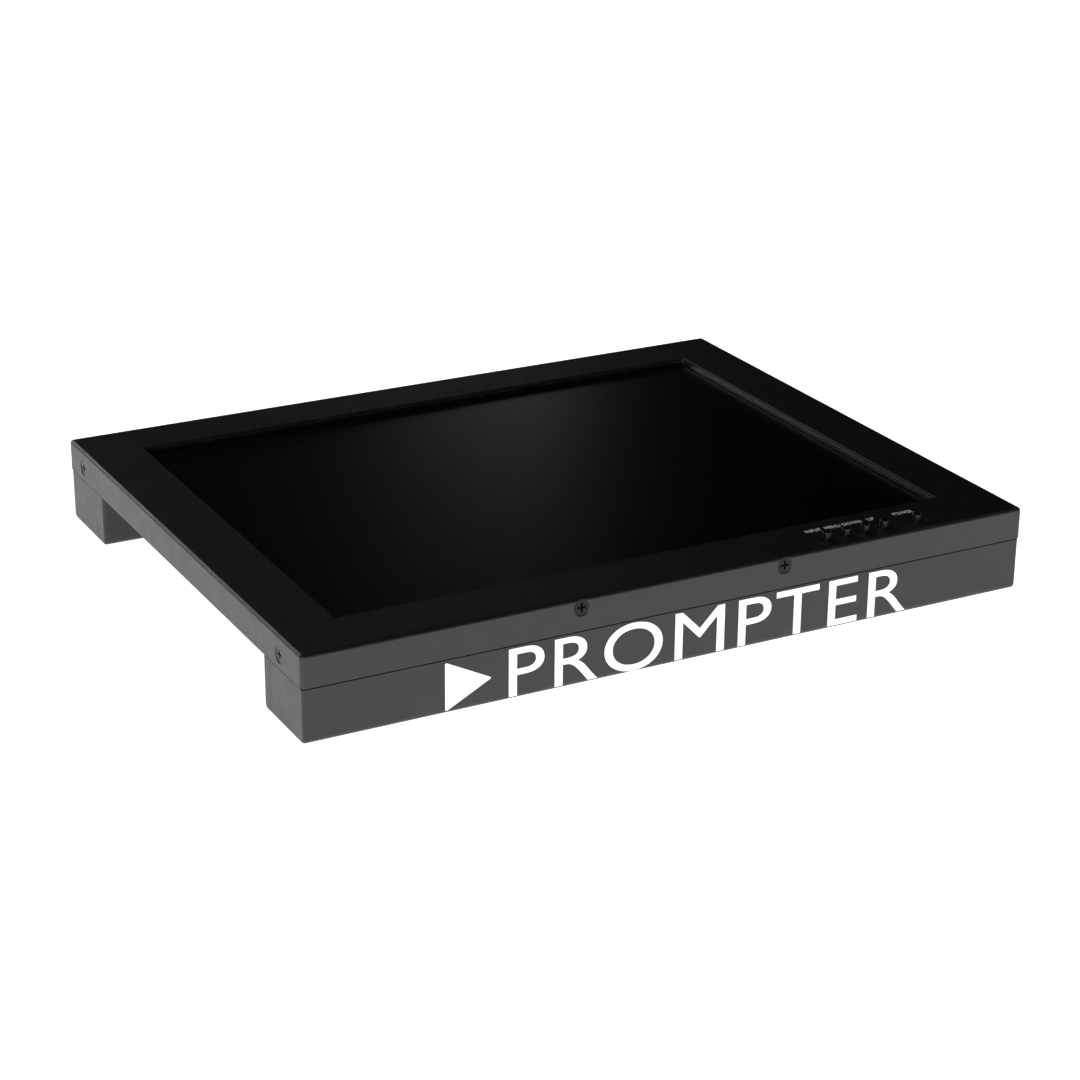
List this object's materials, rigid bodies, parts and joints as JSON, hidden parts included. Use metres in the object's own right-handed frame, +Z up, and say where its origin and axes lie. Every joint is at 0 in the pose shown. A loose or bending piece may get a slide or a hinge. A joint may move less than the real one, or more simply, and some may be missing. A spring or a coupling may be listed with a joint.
{
  "type": "teleprompter monitor",
  "caption": "Flat 4:3 display in a folded sheet-steel case lying face up, with two troughs as feet, push buttons by the front edge, rear sockets and a mounting plate underneath.",
  "frame": {"origin": "middle of the case footprint, on the plane the two troughs stand on", "axes": "+Z up through the screen, +X to the right as the lettered front is seen, -Y towards that front"},
  "size_m": [0.362, 0.2874, 0.0445],
  "materials": {
    "case_coating": "fine-textured satin black powder coat on folded sheet steel",
    "black_screws": "black oxide, oiled",
    "anodised_plate": "matt black anodised",
    "steel_hardware": "bright zinc plated",
    "zinc_sheet": "galvanised sheet, dull",
    "foam": "closed-cell foam",
    "module_steel": "stamped stainless sheet",
    "white_moulding": "moulded, satin",
    "screen_glass": "anti-glare, dark when off",
    "clear_sheet": "clear acrylic",
    "module_aluminium": "mill finish",
    "circuit_board": "green solder mask",
    "black_moulding": "moulded, matt",
    "black_aluminium": "black anodised fins",
    "capacitor_sleeve": "shrunk sleeve",
    "ferrite": "fired ferrite and tape",
    "grey_cable": "soft sheath",
    "nickel": "nickel plated brass",
    "blue_moulding": "moulded, matt",
    "button_plastic": "moulded, glossy"
  },
  "bodies": {
    "case": {"bnc_bodies": "nickel", "bnc_insulators": "white_moulding", "bnc_nuts": "nickel", "board_capacitors": "capacitor_sleeve", "board_screws": "steel_hardware", "board_sockets": "white_moulding", "board_standoffs": "steel_hardware", "bracket_nuts": "steel_hardware", "bracket_side_screws": "steel_hardware", "chassis_pan": "case_coating", "controller_board": "circuit_board", "cover_screws": "black_screws", "cover_weld_studs": "steel_hardware", "dc_inlet": "black_moulding", "dc_inlet_nut": "nickel", "driver_board": "circuit_board", "driver_lead": "grey_cable", "driver_transformer": "ferrite", "front_cover": "case_coating", "front_left_end_plate": "case_coating", "front_right_end_plate": "case_coating", "insulator_sheets": "black_moulding", "io_panel": "case_coating", "io_panel_screws": "black_screws", "keypad_board": "circuit_board", "keypad_cable": "grey_cable", "keypad_socket": "white_moulding", "keypad_standoffs": "steel_hardware", "lamp_lead": "grey_cable", "lcd_back_tray": "module_aluminium", "lcd_bracket_left": "zinc_sheet", "lcd_bracket_right": "zinc_sheet", "lcd_cell": "screen_glass", "lcd_front_frame": "module_steel", "lcd_led_bars": "white_moulding", "lcd_light_guide": "clear_sheet", "lcd_mold_frame": "white_moulding", "lcd_optical_films": "clear_sheet", "lcd_reflector": "white_moulding", "mount_plate": "anodised_plate", "mount_plate_rivets": "steel_hardware", "rear_left_end_plate": "case_coating", "rear_right_end_plate": "case_coating", "scaler_chip": "black_moulding", "scaler_heatsink": "black_aluminium", "signal_cable": "grey_cable", "switch_domes": "steel_hardware", "switch_housings": "black_moulding", "timing_board": "circuit_board", "timing_board_shield": "zinc_sheet", "vga_insert": "blue_moulding", "vga_jackscrews": "nickel", "vga_shell": "nickel", "window_gasket": "foam"},
    "input_key": {"input_button": "button_plastic"},
    "menu_key": {"menu_button": "button_plastic"},
    "down_key": {"down_button": "button_plastic"},
    "up_key": {"up_button": "button_plastic"},
    "power_key": {"power_button": "button_plastic"}
  },
  "joints": [
    {"name": "input_press", "type": "slide", "parent": "case", "child": "input_key", "axis": [0, 0, 1], "range_m": [-0.0005, 0], "stiffness_N_per_m": 2000},
    {"name": "menu_press", "type": "slide", "parent": "case", "child": "menu_key", "axis": [0, 0, 1], "range_m": [-0.0005, 0], "stiffness_N_per_m": 2000},
    {"name": "down_press", "type": "slide", "parent": "case", "child": "down_key", "axis": [0, 0, 1], "range_m": [-0.0005, 0], "stiffness_N_per_m": 2000},
    {"name": "up_press", "type": "slide", "parent": "case", "child": "up_key", "axis": [0, 0, 1], "range_m": [-0.0005, 0], "stiffness_N_per_m": 2000},
    {"name": "power_press", "type": "slide", "parent": "case", "child": "power_key", "axis": [0, 0, 1], "range_m": [-0.0005, 0], "stiffness_N_per_m": 2000}
  ]
}
